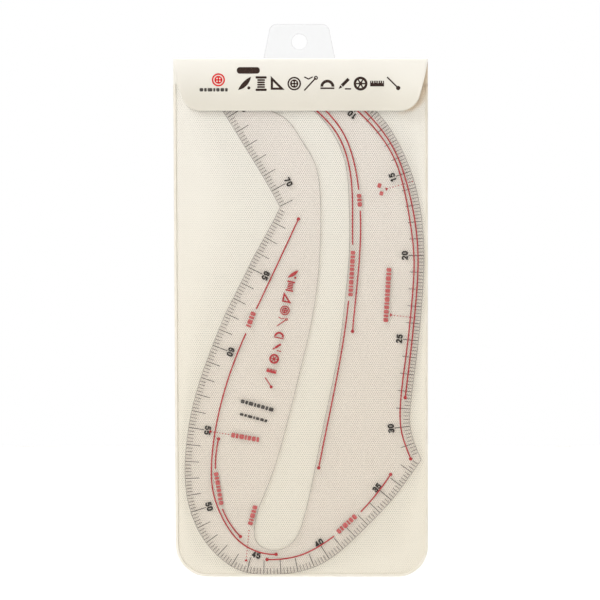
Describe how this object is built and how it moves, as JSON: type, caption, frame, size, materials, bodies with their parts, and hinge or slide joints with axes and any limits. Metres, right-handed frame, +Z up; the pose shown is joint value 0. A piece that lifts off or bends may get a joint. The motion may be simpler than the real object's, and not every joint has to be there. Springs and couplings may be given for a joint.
{
  "type": "french curve",
  "caption": "Flat clear drafting curve with a long slot and a graduated edge, in a hanging ivory pouch with a fold-over flap and a clear tab.",
  "frame": {"origin": "centre of the hang tab's hole, halfway through the tab's thickness", "axes": "+X to the right of the printed face, +Z up towards the hook, the printed face looks along -Y"},
  "size_m": [0.1484, 0.004, 0.322],
  "materials": {
    "pouch_sheet": "soft ivory vinyl sheet with a low sheen",
    "embossed_film": "translucent vinyl film with a fine embossed lattice",
    "weld": "welded rim, slightly glossy",
    "clear_tab": "clear stiff film",
    "adhesive": "clear adhesive strip",
    "plate": "clear plastic plate, slightly grey",
    "black_ink": "printed ink",
    "grey_ink": "printed ink",
    "brown_ink": "printed ink",
    "red_ink": "printed ink",
    "bright_red_ink": "printed ink"
  },
  "bodies": {
    "pouch": {"pouch_back": "pouch_sheet", "pouch_front": "embossed_film", "weld_seam": "weld", "hang_tab": "clear_tab", "tab_adhesive": "adhesive"},
    "flap": {"flap_panel": "pouch_sheet", "flap_fold": "pouch_sheet", "flap_symbols": "brown_ink", "flap_capsule": "brown_ink", "flap_badge": "bright_red_ink", "flap_label": "grey_ink"},
    "curve": {"curve_plate": "plate", "division_ticks": "black_ink", "centimetre_ticks": "black_ink", "scale_numerals": "black_ink", "guide_lines": "red_ink", "guide_labels": "red_ink", "pointers": "red_ink", "maker_bars": "grey_ink", "plate_symbols": "red_ink"}
  },
  "joints": [
    {"name": "flap_hinge", "type": "hinge", "parent": "pouch", "child": "flap", "pos_m": [0, -0.00205, -0.0114], "axis": [-1, 0, 0], "range_deg": [0, 180], "deforming": ["flap_fold"]},
    {"name": "curve_slide", "type": "slide", "parent": "pouch", "child": "curve", "axis": [0, 0, 1], "range_m": [0, 0.31]}
  ]
}
